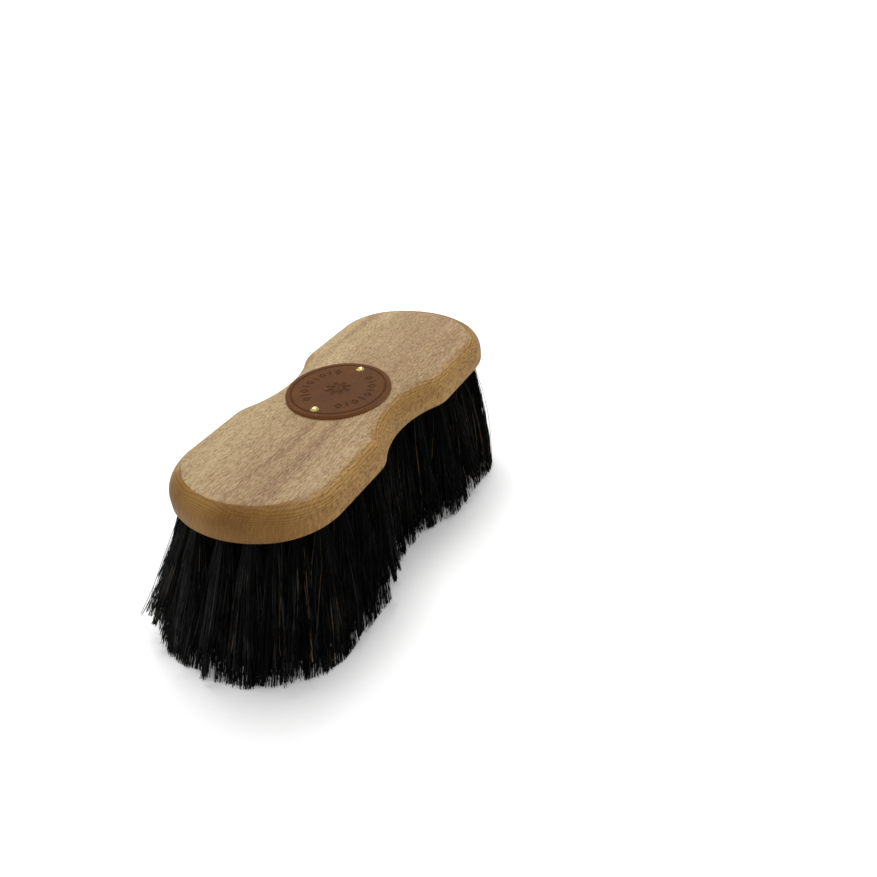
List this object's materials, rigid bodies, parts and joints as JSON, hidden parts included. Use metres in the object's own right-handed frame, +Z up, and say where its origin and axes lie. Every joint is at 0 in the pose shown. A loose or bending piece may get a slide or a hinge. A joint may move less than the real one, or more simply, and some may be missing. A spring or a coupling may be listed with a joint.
{
  "type": "hand brush",
  "caption": "Waisted beech hand brush standing on dense black horsehair tufts, with a round nailed leather badge on its flat back.",
  "frame": {"origin": "middle of the brush's footprint, on the plane of the trimmed hair tips", "axes": "+X along the brush, +Y across it, +Z up from the hair tips towards the wooden back"},
  "size_m": [0.204, 0.0962, 0.0766],
  "materials": {
    "beech": "oiled, satin",
    "badge_leather": "vegetable tanned, satin",
    "nail_brass": "polished",
    "horsehair": "black hair with a slight sheen",
    "anchor_wire": "drawn"
  },
  "bodies": {
    "root": {"beech_block": "beech", "leather_badge": "badge_leather", "badge_nail_left": "nail_brass", "badge_nail_right": "nail_brass", "tuft_row_01": "horsehair", "tuft_row_02": "horsehair", "tuft_row_03": "horsehair", "tuft_row_04": "horsehair", "tuft_row_05": "horsehair", "tuft_row_06": "horsehair", "tuft_row_07": "horsehair", "tuft_row_08": "horsehair", "tuft_row_09": "horsehair", "tuft_row_10": "horsehair", "tuft_row_11": "horsehair", "tuft_row_12": "horsehair", "tuft_row_13": "horsehair", "tuft_row_14": "horsehair", "tuft_row_15": "horsehair", "tuft_row_16": "horsehair", "tuft_row_17": "horsehair", "tuft_row_18": "horsehair", "tuft_row_19": "horsehair", "tuft_row_20": "horsehair", "tuft_row_21": "horsehair", "tuft_row_22": "horsehair", "tuft_row_23": "horsehair", "tuft_row_24": "horsehair", "tuft_row_25": "horsehair", "tuft_row_26": "horsehair", "tuft_row_27": "horsehair", "tuft_row_28": "horsehair", "tuft_row_29": "horsehair", "wire_anchors_01": "anchor_wire", "wire_anchors_02": "anchor_wire", "wire_anchors_03": "anchor_wire", "wire_anchors_04": "anchor_wire", "wire_anchors_05": "anchor_wire", "wire_anchors_06": "anchor_wire", "wire_anchors_07": "anchor_wire", "wire_anchors_08": "anchor_wire", "wire_anchors_09": "anchor_wire", "wire_anchors_10": "anchor_wire", "wire_anchors_11": "anchor_wire", "wire_anchors_12": "anchor_wire", "wire_anchors_13": "anchor_wire", "wire_anchors_14": "anchor_wire", "wire_anchors_15": "anchor_wire"}
  },
  "joints": []
}
